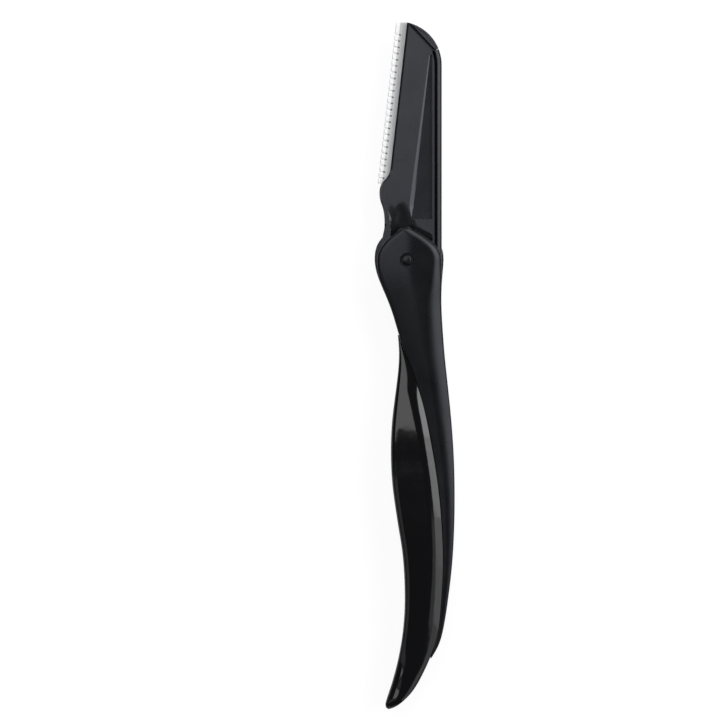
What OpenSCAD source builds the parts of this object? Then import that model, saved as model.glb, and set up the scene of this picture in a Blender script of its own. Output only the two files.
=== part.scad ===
// Folding eyebrow razor. A slim handle, built of two matt shells and two glossy leaves round an
// inner frame, holds a bladed head on a pin. The head turns half a turn to fold into the slot.
// The origin is on the pivot axis at the handle's back face. +X points to the spine of the open
// head, +Y to the tip of the blade, and +Z out of the front face. Sizes are in millimetres.

/* [Handle] */
// Pivot axis to the end of the tail
tail_len = 98; // [84:1:116]
// Thickness of the handle, from its front face to its back face
handle_t = 8.4; // [7.2:0.1:10]
// Width across the belly of the grip
grip_w = 13.9; // [12.6:0.1:15.5]
// Width across the waist, below the pivot
waist_w = 9.2; // [7.8:0.1:10.9]
// How far the belly stands out past the waist, on the spine's side
belly_out = 2.9; // [2.4:0.1:3.5]
// How far the cheeks reach from the pivot axis on the open side of the slot
cheek_left = 7; // [6.7:0.1:8.3]
// How far the cheeks stand out past the spine of the head
cheek_lip = 0.45; // [0.37:0.01:0.54]
// Height of the pointed top of the back cheek above the pivot axis
cheek_top = 8.4; // [7.4:0.1:10]
// How far the front cheek is set in from the back one, round its top
rim_step = 1; // [0.8:0.05:1.2]
// Side wall of a shell or leaf, where it reaches down to the other half
wall_t = 1.15; // [0.95:0.05:1.4]
// How far a side wall is set in under the edge above it
wall_set = 0.06; // [0.05:0.01:0.08]
// Gap between the folded head and the handle
slot_gap = 0.45; // [0.37:0.01:0.55]
// Gap between the widest face of the head and each side of the slot
slot_clear = 0.2; // [0.16:0.01:0.24]
// Seam between a matt shell and the glossy leaf beside it
seam = 0.06; // [0.05:0.01:0.08]
// Gap between the inner frame and the walls round it
frame_gap = 0.08; // [0.06:0.01:0.1]

/* [Head] */
// Pivot axis to the top of the blade
head_len = 52; // [46:1:58]
// Pivot axis to the outer face of the spine
spine_out = 7.65; // [7.2:0.05:8.6]
// How far the heel of the holder stands out on the blade's side
heel_out = 5.95; // [5.2:0.05:7]
// Height of the heel's shoulder, where the straight side of the holder starts
heel_top = 21; // [18:0.5:25]
// Angle between the cutting edge and the spine, in degrees
blade_tilt = 6.5; // [5.4:0.1:7.4]
// Radius of the rounded top of the head
tip_r = 9.5; // [8.6:0.1:11]
// Thickness of the holder
holder_t = 2.8; // [2.4:0.1:3.3]
// Thickness of the rail on the spine
rail_t = 3; // [2.5:0.1:3.5]
// Width of the rail
rail_w = 1; // [0.85:0.05:1.2]
// Groove between the rail and the holder
groove_w = 0.6; // [0.5:0.01:0.7]
// Depth of the pocket in each face of the holder
pocket_depth = 0.6; // [0.5:0.05:0.7]
// Radius of the hub
hub_r = 6; // [5.2:0.1:6.3]
// How far the rail runs past the pivot axis
rail_foot = 0.68; // [0.56:0.01:0.81]

/* [Blade and guard] */
// Distance from the pivot axis to the bare edge of the guard's sides
guard_line = 7.3; // [6.9:0.05:7.8]
// Width of guard that shows beside the holder
guard_show = 1.5; // [1.25:0.05:1.8]
// How far the teeth stand out past the guard's sides
tooth_out = 0.9; // [0.75:0.01:1]
// Width of one tooth
tooth_w = 1.05; // [0.9:0.01:1.15]
// Distance from one tooth to the next
tooth_pitch = 1.37; // [1.14:0.01:1.63]
// How far the slits between the teeth run on into the guard's sides
slit_in = 0.45; // [0.3:0.05:0.6]
// Thickness of the guard's sheet
guard_t = 0.12; // [0.1:0.01:0.14]
// Thickness of the blade
blade_t = 0.2; // [0.16:0.01:0.24]
// Width of the blade, from its edge to its hidden root
blade_w = 5; // [4.2:0.1:5.8]
// Gap between the blade and the inside of the guard
guard_gap = 0.05; // [0.04:0.01:0.06]
// How far the cutting edge stands out past the guard's sides
edge_show = 0.65; // [0.55:0.01:0.7]
// Width of the ground bevel of the blade
bevel_w = 0.9; // [0.75:0.05:1.1]
// Radius of the two anchor holes in the blade
anchor_r = 0.8; // [0.66:0.01:0.95]
// Gap between the holder and the metal that it is moulded round
mould_gap = 0.02; // [0.01:0.005:0.03]

/* [Pivot] */
// Radius of the pivot pin in the hub
pin_r = 1.5; // [1.25:0.05:1.8]
// Radius of the pin's domed nose
nose_r = 1; // [0.85:0.05:1.15]
// Running gap between the pin and its holes
pin_gap = 0.05; // [0.04:0.01:0.06]
// Thickness of each friction washer
washer_t = 0.2; // [0.16:0.01:0.24]
// Outer radius of each friction washer
washer_r = 3.6; // [3:0.1:4.3]
// Play on each side of a washer
washer_play = 0.05; // [0.04:0.01:0.06]
// Radius of the pegs that join the shells
peg_r = 0.75; // [0.62:0.01:0.89]
// Gap round a peg
peg_gap = 0.03; // [0.02:0.005:0.04]

/* [Hidden] */
$fn = 48;
// Overrun of every cut
over = 1;

// Heights above the back face
mid_z = handle_t / 2;
slot_w = max(rail_t + 2 * slot_clear, holder_t + 2 * washer_t + 4 * washer_play);
cheek_t = mid_z - slot_w / 2;

// Sides of the handle, from the pivot axis
cheek_right = spine_out + cheek_lip;
waist_right = heel_out + slot_gap + wall_t;
waist_left = waist_right - waist_w;
belly_right = waist_right + belly_out;
belly_left = belly_right - grip_w;
shoulder_y = -rail_foot - pin_gap;

// Sides of the handle below the pivot. Each row holds the distance below the pivot as a share of
// tail_len, then the share of the step from the waist to the cheek, and that to the belly.
right_side_shares = [[0, 1, 0], [0.04, 0.38, 0], [0.09, -0.06, 0], [0.2, 0, 0.21], [0.28, 0, 0.49],
  [0.36, 0, 0.76], [0.44, 0, 0.94], [0.52, 0, 1], [0.6, 0, 0.96], [0.68, 0, 0.8],
  [0.76, 0, 0.48], [0.815, 0, 0.19], [0.855, 0, -0.14], [0.875, 0, -0.5], [0.886, 0, -0.8]];
left_side_shares = [[0, 1, 0], [0.012, 1.005, 0], [0.04, 0.845, 0], [0.09, 0.45, 0],
  [0.145, 0.12, 0], [0.2, 0, 0], [0.24, 0, 0.07], [0.28, 0, 0.32], [0.36, 0, 0.86], [0.43, 0, 1],
  [0.5, 0, 0.82], [0.58, 0, 0.22], [0.66, 0, -0.46], [0.75, 0, -0.7], [0.82, 0, -0.52],
  [0.885, 0, 0.04], [0.935, 0, 0.74], [0.965, 0, 1.24], [0.99, 0, 1.79], [1, 0, 1.76]];
// Right side of the leaf: distance below the pivot as a share of tail_len, then the distance from
// the belly's left side as a share of grip_w
leaf_side_shares = [[0.166, 0.1], [0.2, 0.2], [0.235, 0.305], [0.275, 0.4], [0.32, 0.5],
  [0.4, 0.618], [0.49, 0.724], [0.58, 0.788], [0.67, 0.814], [0.76, 0.785], [0.83, 0.735],
  [0.884, 0.618], [0.935, 0.45], [0.965, 0.32], [0.99, 0.135], [1, 0.03]];
leaf_top_share = leaf_side_shares[0][0];
notch_share = 0.886;
// Least width of a shell or leaf where it runs out to a point
point_w = 0.2;

// Heights of the surfaces above the slot's side, as shares of cheek_t, along the handle. The leaf
// starts below the shell, crosses its height, and then stands proud of it.
shell_height_shares = [[-0.1, 1], [0.05, 1], [0.12, 0.95], [0.2, 0.85], [0.28, 0.74], [0.36, 0.65],
  [0.45, 0.6], [0.6, 0.59], [0.75, 0.52], [0.886, 0.38], [0.95, 0.22], [1, 0.06]];
leaf_height_shares = [[0.166, 0.42], [0.25, 0.65], [0.3, 0.79], [0.34, 0.89], [0.38, 0.965],
  [0.44, 1], [0.62, 1], [0.78, 0.82], [0.9, 0.56], [0.97, 0.34], [1, 0.14]];
// Rounding of the sides: its width as a share of cheek_t, and its drop as a share of the height
right_round_share = 0.9;
right_drop_share = 0.68;
left_round_share = 0.5;
left_drop_share = 0.5;
crease_round_share = 0.15;
crease_drop_share = 0.12;
leaf_round_share = 0.4;
leaf_drop_share = 0.4;
// Slope along the leaf's right side, down to the shell: its width, and its least drop
shoulder_round_share = 1.2;
shoulder_least_share = 0.05;
// Crown of the front faces, as a share of their height
crown_share = 0.4;
// Length over which the rounding changes where the leaf starts, as a share of tail_len
blend_share = 0.03;
// Powers of the curves of the cheeks' pointed tops
back_arch_powers = [2.8, 2.7];
front_arch_powers = [2.1, 2.15];

// Sections of the shells and leaves
neck_rings = 9;
leaf_rings = 46;
arch_shares = [0.998, 0.985, 0.96, 0.92, 0.87, 0.8, 0.7, 0.58, 0.44, 0.28, 0.12, 0];
ring_shares = [0, 0.02, 0.06, 0.12, 0.2, 0.3, 0.42, 0.54, 0.66, 0.76, 0.85, 0.92, 0.965, 0.99, 1];

// Smooth curve through the rows of a table, read at column c
function row_slope(table, i, c) =
  let(a = max(i - 1, 0), b = min(i + 1, len(table) - 1))
  (table[b][c] - table[a][c]) / (table[b][0] - table[a][0]);
function row_below(table, s, i = 0) =
  i >= len(table) - 2 || s <= table[i + 1][0] ? i : row_below(table, s, i + 1);
function along(table, s, c = 1) =
  let(i = row_below(table, s), d = table[i + 1][0] - table[i][0],
    f = min(max((s - table[i][0]) / d, 0), 1))
  table[i][c] * (1 + 2 * f) * (1 - f) * (1 - f) + table[i + 1][c] * f * f * (3 - 2 * f)
    + d * f * (1 - f) * ((1 - f) * row_slope(table, i, c) - f * row_slope(table, i + 1, c));

// Sides of the handle at a height y: step is how far the front cheek is set in
function share_down(y) = -y / tail_len;
function arch(y, top, power) = 1 - pow(max(y, 0) / top, power);
function arch_powers(step) = step > 0 ? front_arch_powers : back_arch_powers;
function set_in(y, step) = step / 2 * min(max(1 - share_down(y) / 0.05, 0), 1);
function handle_left(y, step = 0) =
  y > 0 ? -(cheek_left - step / 2) * arch(y, cheek_top - step, arch_powers(step)[0])
  : waist_left + along(left_side_shares, share_down(y), 1) * (-cheek_left - waist_left)
    + along(left_side_shares, share_down(y), 2) * (belly_left - waist_left) + set_in(y, step);
function leaf_right(y) =
  max(belly_left + along(leaf_side_shares, share_down(y)) * grip_w, handle_left(y) + point_w);
function shell_right(y, step = 0) =
  y > 0 ? (cheek_right - step / 2) * arch(y, cheek_top - step, arch_powers(step)[1])
  : max(waist_right + along(right_side_shares, share_down(y), 1) * (cheek_right - waist_right)
    + along(right_side_shares, share_down(y), 2) * (belly_right - waist_right) - set_in(y, step),
    share_down(y) < leaf_top_share ? waist_right / 2 : leaf_right(y) + seam + point_w);
function shell_left(y, step = 0) =
  share_down(y) < leaf_top_share ? handle_left(y, step) : leaf_right(y) + seam;

// Heights of the middle of the surfaces above the slot's side
function shell_rise(s) = cheek_t * min(along(shell_height_shares, s), 1);
function leaf_rise(s) = cheek_t * min(along(leaf_height_shares, s), 1);

// Drop of a surface at a distance d from its side, on a quarter of an ellipse or on a parabola
function rounding(d, width, drop) =
  d >= width ? 0 : drop * (1 - sqrt(1 - pow(1 - max(d, 0) / width, 2)));
function sloping(d, width, drop) = d >= width ? 0 : drop * pow(1 - max(d, 0) / width, 2);
// Cosine of the angle between a side and the handle's line, read over a short step
slope_step = tail_len / 400;
function lean(a, b) = cos(atan2(a - b, slope_step));

// Height of a matt shell above the mid plane
function shell_height(x, y, xl, xr, cl, cr, front) =
  let(s = share_down(y), h = shell_rise(s),
    f = min(max((s - leaf_top_share) / blend_share, 0), 1),
    lw = cheek_t * (left_round_share + f * (crease_round_share - left_round_share)),
    ld = h * (left_drop_share + f * (crease_drop_share - left_drop_share)),
    rw = min(cheek_t * right_round_share, (xr - xl) * 0.9),
    u = (x - xl) / (xr - xl) - 0.55)
  slot_w / 2 + h - rounding((x - xl) * cl, lw, ld)
    - rounding((xr - x) * cr, rw, h * right_drop_share)
    - (front ? h * crown_share * u * u * (1 - f) : 0);

// Height of a glossy leaf above the mid plane
function leaf_height(x, y, xl, xr, cl, cr) =
  let(s = share_down(y), h = leaf_rise(s), w = xr - xl,
    fall = min(max(h - shell_rise(s), 0) + cheek_t * shoulder_least_share, h * 0.8))
  slot_w / 2 + h
    - rounding((x - xl) * cl, min(cheek_t * leaf_round_share, w * 0.5), h * leaf_drop_share)
    - sloping((xr - x) * cr, min(cheek_t * shoulder_round_share, w * 0.5), fall);

// One closed section of a half: over the outside from left to right, then back along the slot
function ring(y, xl, xr, heights, side) =
  concat([for (i = [0 : len(ring_shares) - 1])
      [xl + (xr - xl) * ring_shares[i], y, mid_z + side * heights[i]]],
    [[xr, y, mid_z + side * slot_w / 2], [xl, y, mid_z + side * slot_w / 2]]);

function shell_ring(y, step, side, front) =
  let(xl = shell_left(y, step), xr = max(shell_right(y, step), xl + point_w),
    y2 = y - slope_step,
    cl = lean(xl, shell_left(y2, step)), cr = lean(xr, shell_right(y2, step)))
  ring(y, xl, xr, [for (u = ring_shares)
    shell_height(xl + (xr - xl) * u, y, xl, xr, cl, cr, front)], side);

function leaf_ring(y, side) =
  let(xl = handle_left(y), xr = leaf_right(y), y2 = y + slope_step,
    cl = lean(xl, handle_left(y2)), cr = lean(xr, leaf_right(y2)))
  ring(y, xl, xr, [for (u = ring_shares)
    leaf_height(xl + (xr - xl) * u, y, xl, xr, cl, cr)], side);

// Solid through a row of sections that runs from the head towards the tail
module skin(rings, side) {
  n = len(rings[0]);
  last = (len(rings) - 1) * n;
  sides = [for (r = [0 : len(rings) - 2], p = [0 : n - 1])
    let(a = r * n + p, b = r * n + (p + 1) % n)
    each [[a, b, b + n], [a, b + n, a + n]]];
  first_cap = [for (p = [1 : n - 2]) [0, p + 1, p]];
  last_cap = [for (p = [1 : n - 2]) [last, last + p, last + p + 1]];
  faces = concat(sides, first_cap, last_cap);
  polyhedron(points = [for (r = rings, p = r) p],
    faces = side > 0 ? faces : [for (f = faces) [f[0], f[2], f[1]]]);
}

// Heights of the sections: close together round the pointed top, then even down the handle
function below(a, b, n) = [for (i = [0 : n]) a + (b - a) * i / n];
function turned(list) = [for (i = [len(list) - 1 : -1 : 0]) list[i]];
leaf_stops = [for (f = below(0, 1, leaf_rings))
  -tail_len * (leaf_top_share + (1 - leaf_top_share) * (f - 0.06 * sin(360 * f)))];
shell_low_stops = concat(below(shoulder_y, leaf_stops[0], neck_rings),
  [for (y = leaf_stops) if (y < leaf_stops[0] && share_down(y) < notch_share - 0.004) y],
  [-notch_share * tail_len]);
function shell_stops(top) = concat([for (f = arch_shares) f * top], shell_low_stops);

// Slot for the folded head: its side lies past the heel, then past the teeth
edge_slope = tan(blade_tilt);
tooth_line = guard_line + tooth_out;
heel_low = heel_top * 0.81;
slot_reach = norm([head_len, tooth_line / cos(blade_tilt) - head_len * edge_slope]) + slot_gap;
function teeth_side(y) = tooth_line / cos(blade_tilt) + y * edge_slope;
function heel_share(y) = min(max((y + heel_low) / (0.1 * heel_top) + 1, 0), 1);
function slot_side(y) =
  max(heel_out, teeth_side(y)) * heel_share(y) + teeth_side(y) * (1 - heel_share(y)) + slot_gap;
slot_mid = 0.6 * slot_reach;
module slot_end() intersection() {
  circle(r = slot_reach, $fn = 96);
  polygon([[slot_side(-slot_mid), -slot_mid], [slot_side(-2 * slot_reach), -2 * slot_reach],
    [-2 * grip_w, -2 * slot_reach], [-2 * grip_w, -slot_mid]]);
}

// Side walls, which close each half down to the mid plane
wall_key = cheek_t * 0.03;
shell_wall_end_share = notch_share - 0.012;
shell_wall_stops = [for (y = shell_low_stops) if (share_down(y) < shell_wall_end_share) y];
function shell_wall_in(y) =
  max(heel_out + slot_gap, shell_left(y) + wall_set, shell_right(y) - wall_t);
module shell_wall_outline() polygon(concat(
  [for (y = shell_wall_stops) [shell_right(y) - wall_set, y]],
  [for (y = turned(shell_wall_stops)) [shell_wall_in(y), y]]));

slot_floor = slot_reach * 0.9;
tail_wall_share = 0.935;
leaf_wall_share = notch_share - 0.03;
leaf_wall_stops = [for (y = leaf_stops) if (y < -slot_floor) max(y, wall_set - tail_len)];
leaf_inner_stops = below(-slot_floor + over, -tail_wall_share * tail_len, leaf_rings);
module leaf_wall_outline() difference() {
  polygon(concat([for (y = leaf_wall_stops) [handle_left(y) + wall_set, y]],
    [for (y = turned(leaf_wall_stops)) [leaf_right(y) - wall_set, y]]));
  polygon(concat([for (y = leaf_inner_stops) [handle_left(y) + wall_t, y]],
    [for (y = turned(leaf_inner_stops)) [leaf_right(y) - wall_t, y]]));
  translate([(handle_left(-slot_floor) + leaf_right(-slot_floor)) / 2, -leaf_wall_share * tail_len])
    square([2 * grip_w, leaf_wall_share * tail_len]);
  slot_end();
}
module half_wall(side) translate([0, 0, side > 0 ? mid_z : cheek_t - wall_key])
  linear_extrude(slot_w / 2 + wall_key) children();

// Places of the pegs: two through the shells, as shares of tail_len, and two through the leaves,
// as shares of the length below the slot
shell_peg_shares = [0.36, 0.52];
leaf_peg_shares = [0.15, 0.57];
function shell_peg(y) =
  [(max(leaf_right(y), slot_side(y)) + shell_right(y) - wall_t) / 2, y];
function leaf_peg(y) = [(handle_left(y) + leaf_right(y)) / 2, y];
peg_depth = cheek_t * 0.55;

module at_shell_pegs() for (s = shell_peg_shares) translate(shell_peg(-s * tail_len)) children();
module at_leaf_pegs() for (s = leaf_peg_shares)
  translate(leaf_peg(-slot_reach - s * (tail_len - slot_reach))) children();

module peg() translate([0, 0, cheek_t - peg_depth])
  cylinder(r = peg_r, h = slot_w + peg_depth + cheek_t * 0.3);
module peg_socket() translate([0, 0, cheek_t - peg_depth - peg_gap])
  cylinder(r = peg_r + peg_gap, h = peg_depth + peg_gap + over);

// Inner frame: fills the middle layer between the slot and the walls
frame_top_share = 0.23;
frame_stops = below(-frame_top_share * tail_len, -(tail_wall_share - 0.02) * tail_len, leaf_rings);
function frame_right(y) =
  (share_down(y) < notch_share ? max(shell_right(y), leaf_right(y)) : leaf_right(y))
    - wall_t - frame_gap;
function frame_left(y) = y < -slot_floor ? handle_left(y) + wall_t + frame_gap : slot_side(y);
module frame_outline() difference() {
  polygon(concat([for (y = frame_stops) [frame_right(y), y]],
    [for (y = turned(frame_stops)) [frame_left(y), y]]));
  slot_end();
  offset(delta = frame_gap) leaf_wall_outline();
}

module inner_frame() color("#151517") difference() {
  translate([0, 0, cheek_t]) linear_extrude(slot_w) frame_outline();
  translate([0, 0, -over]) {
    at_shell_pegs() cylinder(r = peg_r + peg_gap, h = handle_t + 2 * over);
    at_leaf_pegs() cylinder(r = peg_r + peg_gap, h = handle_t + 2 * over);
  }
}

module front_shell() color("#202124") {
  difference() {
    skin([for (y = shell_stops(cheek_top - rim_step)) shell_ring(y, rim_step, 1, true)], 1);
    translate([0, 0, mid_z]) cylinder(r = pin_r + pin_gap, h = handle_t);
  }
  half_wall(1) shell_wall_outline();
  at_shell_pegs() peg();
}

module back_shell() color("#202124") {
  difference() {
    skin([for (y = shell_stops(cheek_top)) shell_ring(y, 0, -1, false)], -1);
    translate([0, 0, cheek_t - pin_seat]) cylinder(r = pin_r, h = pin_seat + over);
    at_shell_pegs() peg_socket();
  }
  half_wall(-1) shell_wall_outline();
}

module front_leaf() color("#0e0e10") {
  skin([for (y = leaf_stops) leaf_ring(y, 1)], 1);
  half_wall(1) leaf_wall_outline();
  at_leaf_pegs() peg();
}

module back_leaf() color("#0e0e10") {
  difference() {
    skin([for (y = leaf_stops) leaf_ring(y, -1)], -1);
    at_leaf_pegs() peg_socket();
  }
  half_wall(-1) leaf_wall_outline();
}

// Pivot
pin_seat = cheek_t * 0.6;
nose_dome = nose_r * 0.4;
shank_top = mid_z + slot_w / 2 + cheek_t * 0.45;

module pivot_pin() color("#1b1c1f") {
  translate([0, 0, cheek_t - pin_seat]) cylinder(r = pin_r, h = shank_top - cheek_t + pin_seat);
  translate([0, 0, shank_top]) cylinder(r = nose_r, h = handle_t - nose_dome - shank_top);
  dome_r = (nose_r * nose_r + nose_dome * nose_dome) / (2 * nose_dome);
  translate([0, 0, handle_t - nose_dome]) intersection() {
    translate([0, 0, nose_dome - dome_r]) sphere(r = dome_r);
    cylinder(r = nose_r, h = nose_dome);
  }
}

module washer(z) color("#b9b7ae") translate([0, 0, z]) difference() {
  cylinder(r = washer_r, h = washer_t);
  translate([0, 0, -over]) cylinder(r = pin_r + 2 * pin_gap, h = washer_t + 2 * over);
}
module front_washer() washer(mid_z + slot_w / 2 - washer_play - washer_t);
module back_washer() washer(cheek_t + washer_play);

// Head. Its blade frame leans by blade_tilt, with its second axis along the cutting edge.
holder_line = guard_line - guard_show;
edge_foot = heel_top * 0.765;
edge_top = head_len * 1.02;
band_in = rail_w + groove_w;
notch_angle = 22.5;
function holder_edge(y) = -holder_line / cos(blade_tilt) + y * edge_slope;
tip_side = spine_out - tip_r;
tip_centre = [tip_side,
  head_len - sqrt(tip_r * tip_r - pow(holder_edge(head_len) - tip_side, 2))];
tip_end = acos((holder_edge(head_len) - tip_side) / tip_r);
function tip_point(r, a) = tip_centre + r * [cos(a), sin(a)];
heel_steps = 28;
tip_steps = 14;

// Side of the heel: height as a share of heel_top, then reach as a share of heel_out
heel_shares = [[0, 0.9], [0.12, 0.93], [0.25, 0.885], [0.33, 0.825], [0.42, 0.815], [0.5, 0.84],
  [0.56, 0.89], [0.62, 0.965], [0.69, 1], [0.755, 0.985], [0.8, 0.92], [0.83, 0.84],
  [0.87, 0.7], [0.93, 0.61], [1, 0.57]];
function heel_x(y) = -heel_out * along(heel_shares, y / heel_top)
  + (holder_edge(heel_top) + heel_out * heel_shares[len(heel_shares) - 1][1])
  * pow(max(y / heel_top - 0.75, 0) / 0.25, 2);

module blade_frame() rotate(-blade_tilt) children();
module slab(t) translate([0, 0, mid_z - t / 2]) linear_extrude(t) children();

module holder_outline() {
  polygon(concat(
    [[spine_out - band_in, -rail_foot]],
    [for (a = below(0, notch_angle, 4)) tip_point(tip_r - band_in, a)],
    [for (a = below(notch_angle, tip_end, tip_steps)) tip_point(tip_r, a)],
    [for (y = below(heel_top, 0, heel_steps)) [heel_x(y), y]],
    [[0, -rail_foot]]));
  circle(r = hub_r);
}

// Band along the spine and the round of the tip, between two distances inside the outer face
module spine_band(out, in, top_angle, foot = rail_foot) polygon(concat(
  [[spine_out - in, -foot], [spine_out - out, -foot]],
  [for (a = below(0, top_angle, 6)) tip_point(tip_r - out, a)],
  [for (a = below(top_angle, 0, 6)) tip_point(tip_r - in, a)]));

tongue_t = rail_t * 0.36;
tongue_reach = rail_w * 0.5;

// Pocket in each face, between the blade's panel and the spine
pocket_low = heel_top * 0.43;
pocket_top = tip_centre[1] + tip_r * 0.23;
pocket_side = spine_out - band_in - spine_out * 0.06;
pocket_lean = 4;
module pocket_outline() intersection() {
  blade_frame() translate([0, -head_len / 2]) square([2 * spine_out, 2 * head_len]);
  translate([0, pocket_low]) square([pocket_side, pocket_top - pocket_low]);
}
module pocket_cut(side) translate([0, 0, mid_z]) mirror([0, 0, side > 0 ? 0 : 1]) intersection() {
  linear_extrude(holder_t) pocket_outline();
  translate([pocket_side, 0, holder_t / 2 - pocket_depth]) rotate([0, pocket_lean, 0])
    translate([-2 * spine_out, 0, 0]) cube([4 * spine_out, head_len, holder_t]);
}

// Step at the tip, on both faces: a steep riser at the panel's top edge, then a gently sloping shelf
riser_slope = 38;
shelf_slope = 9;
bevel_turn = 43;
bevel_start = tip_r * 0.797;
shelf_depth = holder_t * 0.15;
shelf_start = bevel_start + shelf_depth / tan(riser_slope);
module sloped_cut(start, depth, slope)
  translate([-tip_r, start, holder_t / 2 - depth]) rotate([-slope, 0, 0])
    cube([2 * tip_r, tip_r, holder_t]);
module tip_cut(side) translate([tip_centre[0], tip_centre[1], mid_z])
  rotate(bevel_turn - 90) mirror([0, 0, side > 0 ? 0 : 1]) intersection() {
    sloped_cut(bevel_start, 0, riser_slope);
    sloped_cut(shelf_start - tip_r * cos(shelf_slope), shelf_depth - tip_r * sin(shelf_slope),
      shelf_slope);
  }

// Scoop in the neck beside the heel, on both faces: a round channel that starts as nothing and
// grows deeper towards the pivot, until the cheeks cover it
scoop_r = holder_t * 0.8;
scoop_start = [-heel_out * 0.62, heel_top * 0.6];
scoop_turn = 17;
scoop_slope = 5.5;
scoop_len = heel_top * 0.42;
module scoop(side) translate([scoop_start[0], scoop_start[1], mid_z])
  mirror([0, 0, side > 0 ? 0 : 1]) rotate([0, 0, scoop_turn]) translate([0, 0, holder_t / 2])
    rotate([90 + scoop_slope, 0, 0]) translate([0, scoop_r, 0]) cylinder(r = scoop_r, h = scoop_len);

// Bars that run along the cutting edge, from a section in the blade frame
module edge_bar(low, high) blade_frame() translate([0, 0, mid_z]) rotate([90, 0, 0])
  translate([0, 0, -high]) linear_extrude(high - low) children();

// Room of the metal at the tip: level with the top of the head, with its hidden corner cut off
module under_tip(grow) translate([0, 0, mid_z - holder_t]) linear_extrude(2 * holder_t)
  polygon([[-2 * tip_r, 0], [-2 * tip_r, head_len + grow],
    [holder_edge(head_len) + guard_t + grow, head_len + grow],
    [spine_out + grow, head_len + holder_edge(head_len) + guard_t - spine_out + grow],
    [spine_out, 0]]);

// Blade: a ground edge, a flat body, and a root inside the holder with two anchor holes
blade_edge = guard_line + edge_show;
blade_tip_t = blade_t * 0.12;
module blade_section(grow) polygon([
  [-blade_edge - grow, -blade_tip_t / 2 - grow], [-blade_edge - grow, blade_tip_t / 2 + grow],
  [-blade_edge + bevel_w, blade_t / 2 + grow], [blade_w - blade_edge + grow, blade_t / 2 + grow],
  [blade_w - blade_edge + grow, -blade_t / 2 - grow],
  [-blade_edge + bevel_w, -blade_t / 2 - grow]]);
module blade_plate(grow) difference() {
  intersection() {
    edge_bar(edge_foot - grow, edge_top) blade_section(grow);
    under_tip(grow);
  }
  blade_frame() for (s = [0.25, 0.75])
    translate([blade_w - blade_edge - 2 * anchor_r, edge_foot + s * (edge_top - edge_foot), 0])
      cylinder(r = anchor_r - grow, h = handle_t);
}

// Guard: a sheet folded over the cutting edge, open between its teeth
guard_in = blade_t / 2 + guard_gap;
guard_out = guard_in + guard_t;
guard_hold = guard_show * 0.7;
guard_root = holder_line - guard_hold;
module guard_section(r, end, root) {
  translate([r - end, 0]) circle(r = r, $fn = 24);
  translate([r - end, -r]) square([end - r - root, 2 * r]);
}
tooth_gaps = floor((head_len - edge_foot - tooth_w) / tooth_pitch) - 1;
module blade_guard() color("#b8b8ba") difference() {
  intersection() {
    edge_bar(edge_foot, edge_top) guard_section(guard_out, tooth_line, guard_root);
    under_tip(0);
  }
  edge_bar(edge_foot - over, edge_top + over)
    guard_section(guard_in, tooth_line - guard_t, guard_root - over);
  blade_frame() for (i = [0 : tooth_gaps - 1])
    translate([-tooth_line - over, edge_foot + tooth_w + i * tooth_pitch, 0])
      cube([tooth_out + slit_in + over, tooth_pitch - tooth_w, handle_t]);
}

module blade() color("#9c9da0") blade_plate(0);

module blade_holder() color("#26272a") difference() {
  union() {
    slab(holder_t) holder_outline();
    slab(tongue_t) spine_band(tongue_reach, band_in + groove_w, notch_angle);
  }
  cylinder(r = pin_r + pin_gap, h = handle_t);
  for (side = [-1, 1]) {
    pocket_cut(side);
    tip_cut(side);
    scoop(side);
  }
  blade_plate(mould_gap);
  edge_bar(edge_foot - mould_gap, edge_top + over)
    guard_section(guard_out + mould_gap, tooth_line + mould_gap, guard_root - mould_gap);
}

module spine_rail() color("#1e1f22") difference() {
  slab(rail_t) spine_band(0, rail_w, notch_angle * 0.95);
  slab(tongue_t + 2 * pin_gap)
    spine_band(tongue_reach - pin_gap, rail_w + over, notch_angle * 1.1, rail_foot + over);
}

front_shell();
back_shell();
front_leaf();
back_leaf();
inner_frame();
pivot_pin();
front_washer();
back_washer();
blade_holder();
spine_rail();
blade();
blade_guard();
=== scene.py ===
# %% [markdown]
# # A folding eyebrow razor
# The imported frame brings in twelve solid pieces, each at its real place, and says which of them
# turn with the head. Here every visible piece gets its finished form and its finish. The large
# moulded pieces are made again as smooth skins, the pieces of the head get the small round edges
# that catch the light, and the blade and what is hidden keep their solids and only get a finish.

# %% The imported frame
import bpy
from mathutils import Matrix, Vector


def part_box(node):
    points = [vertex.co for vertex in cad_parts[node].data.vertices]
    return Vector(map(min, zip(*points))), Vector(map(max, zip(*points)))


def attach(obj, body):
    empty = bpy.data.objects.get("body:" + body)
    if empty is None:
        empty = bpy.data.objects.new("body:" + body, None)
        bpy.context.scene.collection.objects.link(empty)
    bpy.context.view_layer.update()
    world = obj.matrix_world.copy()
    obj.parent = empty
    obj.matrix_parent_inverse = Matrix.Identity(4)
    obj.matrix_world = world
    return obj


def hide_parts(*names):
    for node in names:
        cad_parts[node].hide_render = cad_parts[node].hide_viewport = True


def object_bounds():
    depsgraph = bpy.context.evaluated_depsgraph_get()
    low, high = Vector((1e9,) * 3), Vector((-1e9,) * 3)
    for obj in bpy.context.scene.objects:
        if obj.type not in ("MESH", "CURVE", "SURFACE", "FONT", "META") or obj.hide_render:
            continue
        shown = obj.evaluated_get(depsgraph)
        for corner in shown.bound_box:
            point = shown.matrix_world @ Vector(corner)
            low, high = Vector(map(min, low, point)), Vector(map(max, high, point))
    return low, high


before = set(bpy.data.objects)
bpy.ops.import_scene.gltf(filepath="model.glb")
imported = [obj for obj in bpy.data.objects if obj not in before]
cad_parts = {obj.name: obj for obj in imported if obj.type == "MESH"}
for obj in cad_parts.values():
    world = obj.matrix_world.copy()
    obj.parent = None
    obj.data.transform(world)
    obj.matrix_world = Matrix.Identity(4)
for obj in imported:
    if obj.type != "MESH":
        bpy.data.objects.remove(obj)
cad_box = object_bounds()
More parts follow.
